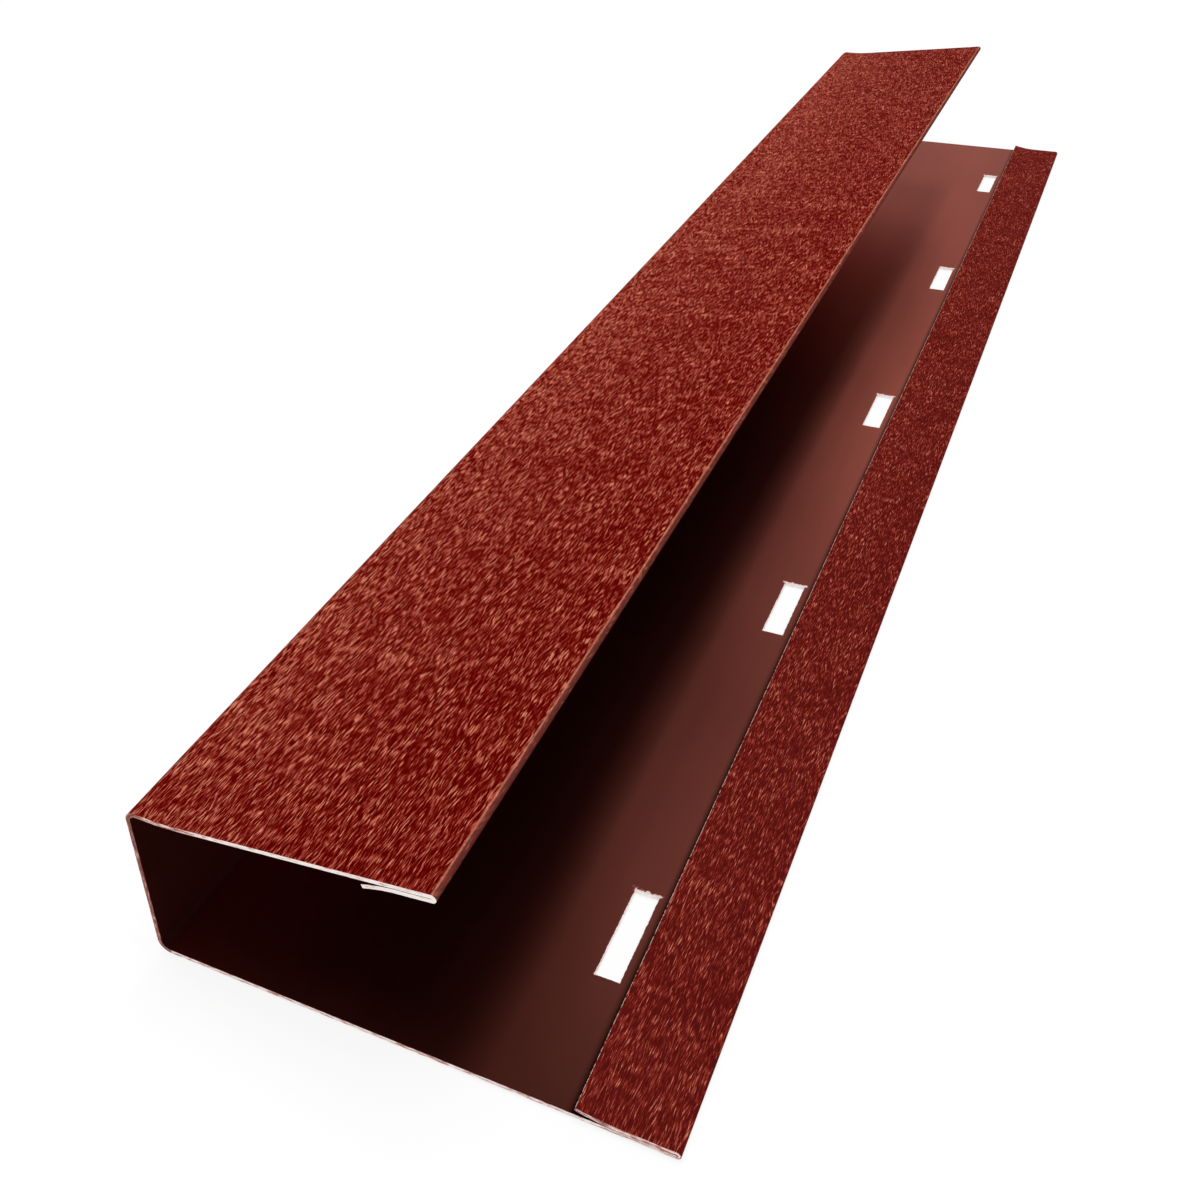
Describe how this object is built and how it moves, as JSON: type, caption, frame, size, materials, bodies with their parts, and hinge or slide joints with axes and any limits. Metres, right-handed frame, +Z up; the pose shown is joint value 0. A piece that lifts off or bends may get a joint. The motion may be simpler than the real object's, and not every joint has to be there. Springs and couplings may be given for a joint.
{
  "type": "roof edge trim",
  "caption": "Folded sheet-metal J-shaped roof edge trim with a slotted nail flange, an open board channel and hemmed long edges.",
  "frame": {"origin": "middle of the length and of the width, on the floor under the nail flange", "axes": "+Y along the length, +X from the web towards the nail flange's hem, +Z up towards the face flange"},
  "size_m": [0.095, 0.48, 0.0409],
  "materials": {
    "coated_sheet": "matt wine-red textured coat outside, plain brown paint inside"
  },
  "bodies": {
    "root": {"folded_trim": "coated_sheet"}
  },
  "joints": []
}
